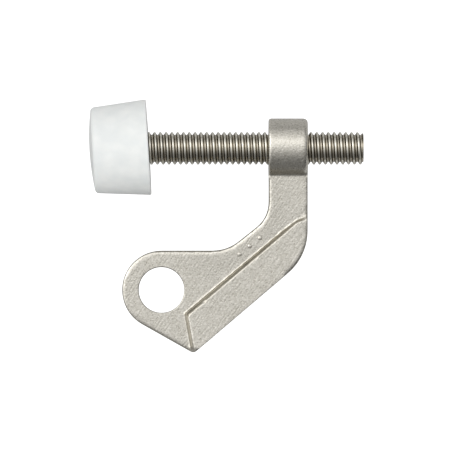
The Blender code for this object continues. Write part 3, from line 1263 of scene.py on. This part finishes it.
@dataclass
class SoftBumper:
    """The soft tip: a cone with a domed front and a stepped socket for the screw's head.

    Args:
        layout: Places and sizes read from the frame.
        thread: The thread that the socket's mouth clears.
    """

    layout: Layout
    thread: Thread
    lean: float = math.radians(3.5)
    pivot: float = -8.2 * MM
    length: float = 14.45 * MM
    rear: float = 5.1 * MM
    rear_radius: float = 11.69 * MM
    front_radius: float = 10.45 * MM
    dome: float = 0.9 * MM
    dome_steps: int = 8
    rear_rounding: float = 0.35 * MM
    front_rounding: float = 1.0 * MM
    mouth_rounding: float = 0.25 * MM
    slack: float = 0.6 * MM
    steps: int = 128

    def profile(self) -> list[Vector]:
        """From the floor of the socket out through its mouth, down the side and in over the domed front.

        Returns:
            Points of (radius, height) along the bumper's own axis, from its pivot.
        """
        floor = self.layout.screw_start - self.slack - self.pivot
        roof = self.layout.screw_start + HEAD_THICKNESS + self.slack - self.pivot
        pocket = self.layout.head_radius + self.slack
        mouth = self.thread.crest + self.slack
        front = self.rear - self.length + self.dome
        corners = [
            (0, floor, 0),
            (pocket, floor, self.mouth_rounding),
            (pocket, roof, self.mouth_rounding),
            (mouth, roof, self.mouth_rounding),
            (mouth, self.rear, self.mouth_rounding),
            (self.rear_radius, self.rear, self.rear_rounding),
            (self.front_radius, front, self.front_rounding),
        ]
        for step in range(1, self.dome_steps + 1):
            share = 1 - step / self.dome_steps
            corners.append((self.front_radius * share, front - self.dome * (1 - share**2), 0))
        return rounded_path(corners, closed=False, arc_step=math.radians(9))

    def build(self) -> bpy.types.Object:
        """Build the bumper.

        Returns:
            The finished piece.
        """
        place = Matrix.Translation(self.layout.axis + Vector((self.pivot, 0, 0)))
        turn = Matrix.Rotation(self.lean, 4, "Z") @ Matrix.Rotation(QUARTER_TURN, 4, "Y")
        thing = to_object(turned(self.profile(), place @ turn, self.steps), "soft_tip")
        smooth_shading(thing)
        thing.data.materials.append(WhiteVinyl().build())
        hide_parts("bumper")
        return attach(thing, Body.BUMPER.value)


# ---------------------------------------------------------------- the studio


@dataclass
class Studio:
    """A pale floor, a soft surround, a diffuse fill and a long lens straight above.

    Args:
        layout: Places and sizes read from the frame.
    """

    layout: Layout
    floor_gap: float = 0.3 * MM
    floor_half: float = 3.0
    view_centre: tuple[float, float] = (15.48 * MM, 15.83 * MM)
    view_width: float = 109.6 * MM
    camera_distance: float = 1.8
    sensor_mm: float = 36.0
    fill_power: float = 2.6
    fill_size: float = 0.7
    fill_height: float = 0.8
    fill_offset: float = 0.05
    levels: tuple[tuple[float, float], ...] = (
        (-1.0, 0.36),
        (-0.85, 0.18),
        (-0.7, 0.20),
        (-0.5, 0.30),
        (-0.3, 0.46),
        (-0.12, 0.67),
        (0.04, 0.76),
        (0.22, 1.15),
        (0.42, 1.42),
        (0.6, 1.15),
        (0.78, 0.72),
        (1.0, 0.92),
    )
    sides: tuple[tuple[float, float], ...] = ((-1.0, 2.4), (-0.75, 2.2), (-0.4, 1.25), (1.0, 0.4))
    horizon_level: float = 0.22
    dim_below: float = 0.6
    even_level: float = 0.74
    even_tilt: float = 0.04
    backdrop_tone: str = "f4f4f4"
    clip_range: tuple[float, float] = (0.05, 20)

    def floor(self) -> bpy.types.Object:
        """Lay the floor just under the lowest piece.

        Returns:
            The floor.
        """
        shape = bmesh.new()
        bmesh.ops.create_grid(shape, x_segments=1, y_segments=1, size=self.floor_half)
        level = CAD_BOX[0][2] - self.floor_gap
        bmesh.ops.translate(shape, verts=shape.verts, vec=(0, 0, level))
        thing = to_object(shape, "floor")
        thing.data.materials.append(PaperSweep().build())
        return thing

    @staticmethod
    def grey_by_side(
        tree: bpy.types.NodeTree, part: bpy.types.NodeSocket, levels: Sequence[tuple[float, float]]
    ) -> bpy.types.NodeSocket:
        """Turn one part of a direction into a grey level.

        Args:
            tree: The world's node tree.
            part: The direction's part along one axis, from -1 to 1.
            levels: The part and the level of each stop, in rising order.

        Returns:
            The socket that gives the level.
        """
        share = add_node(tree, "MapRange", {"Value": part, 1: -1.0, 2: 1.0})
        ramp = add_node(tree, "ValToRGB", {"Fac": share.outputs[0]})
        set_ramp(ramp, [((along + 1) / 2, (level, level, level, 1)) for along, level in levels])
        return ramp.outputs["Color"]

    def surround(self) -> None:
        """Light the scene from all round.

        Metal mirrors a long bright strip towards +Y and a darker far side. Matt surfaces get an almost even
        light.
        """
        world = bpy.data.worlds.new("soft_surround")
        bpy.context.scene.world = world
        world.use_nodes = True
        tree = world.node_tree
        direction = add_node(tree, "TexCoord").outputs["Generated"]
        part = add_node(tree, "SeparateXYZ", {0: direction})
        strip = self.grey_by_side(tree, part.outputs["Y"], self.levels)
        side = self.grey_by_side(tree, part.outputs["X"], self.sides)
        dimming = {"Value": part.outputs["Z"], 2: self.dim_below, 3: self.horizon_level}
        low = add_node(tree, "MapRange", dimming)
        strength = add_node(tree, "Math", {0: side, 1: low.outputs[0]}, operation="MULTIPLY")
        lit = add_node(tree, "Background", {"Color": strip, "Strength": strength.outputs[0]})
        tilted = {0: part.outputs["Y"], 1: self.even_tilt, 2: self.even_level}
        tilt = add_node(tree, "Math", tilted, operation="MULTIPLY_ADD")
        even = add_node(tree, "Background", {"Strength": tilt.outputs[0]})
        backdrop = add_node(tree, "Background", {"Color": linear_colour(self.backdrop_tone), "Strength": 1.0})
        ray = add_node(tree, "LightPath").outputs
        mix = lit
        for question, answer in (("Is Diffuse Ray", even), ("Is Camera Ray", backdrop)):
            mix = add_node(tree, "MixShader", {0: ray[question], 1: mix.outputs[0], 2: answer.outputs[0]})
        tree.links.new(mix.outputs[0], tree.nodes["World Output"].inputs["Surface"])

    def fill(self) -> None:
        """Hang a wide lamp overhead that lights matt surfaces and stays out of the metal's reflections."""
        lamp = bpy.data.lights.new("overhead_fill", "AREA")
        lamp.shape = "SQUARE"
        lamp.size = self.fill_size
        lamp.energy = self.fill_power
        thing = bpy.data.objects.new("overhead_fill", lamp)
        thing.location = (self.view_centre[0], self.view_centre[1] + self.fill_offset, self.fill_height)
        aim = Vector((*self.view_centre, 0)) - thing.location
        thing.rotation_euler = aim.to_track_quat("-Z", "Y").to_euler()
        thing.visible_glossy = False
        thing.visible_camera = False
        bpy.context.scene.collection.objects.link(thing)

    def camera(self) -> None:
        """Look straight down on the object through a long lens."""
        lens = bpy.data.cameras.new("camera")
        lens.sensor_width = self.sensor_mm
        lens.lens = self.sensor_mm * self.camera_distance / self.view_width
        lens.clip_start, lens.clip_end = self.clip_range
        thing = bpy.data.objects.new("camera", lens)
        thing.location = (*self.view_centre, self.layout.axis.z + self.camera_distance)
        bpy.context.scene.collection.objects.link(thing)
        bpy.context.scene.camera = thing

    def build(self) -> None:
        """Set up the floor, the light and the camera."""
        self.floor()
        self.surround()
        self.fill()
        self.camera()
        bpy.context.scene.view_settings.view_transform = "Standard"


def main() -> None:
    """Build every piece and the studio."""
    logging.basicConfig(level=logging.INFO, format="%(name)s: %(message)s")
    layout = Layout.read()
    thread = Thread(layout)
    Studio(layout).build()
    for maker in (CastBracket, AdjustingScrew, SoftBumper):
        piece = maker(layout, thread).build()


if __name__ == "__main__":
    main()
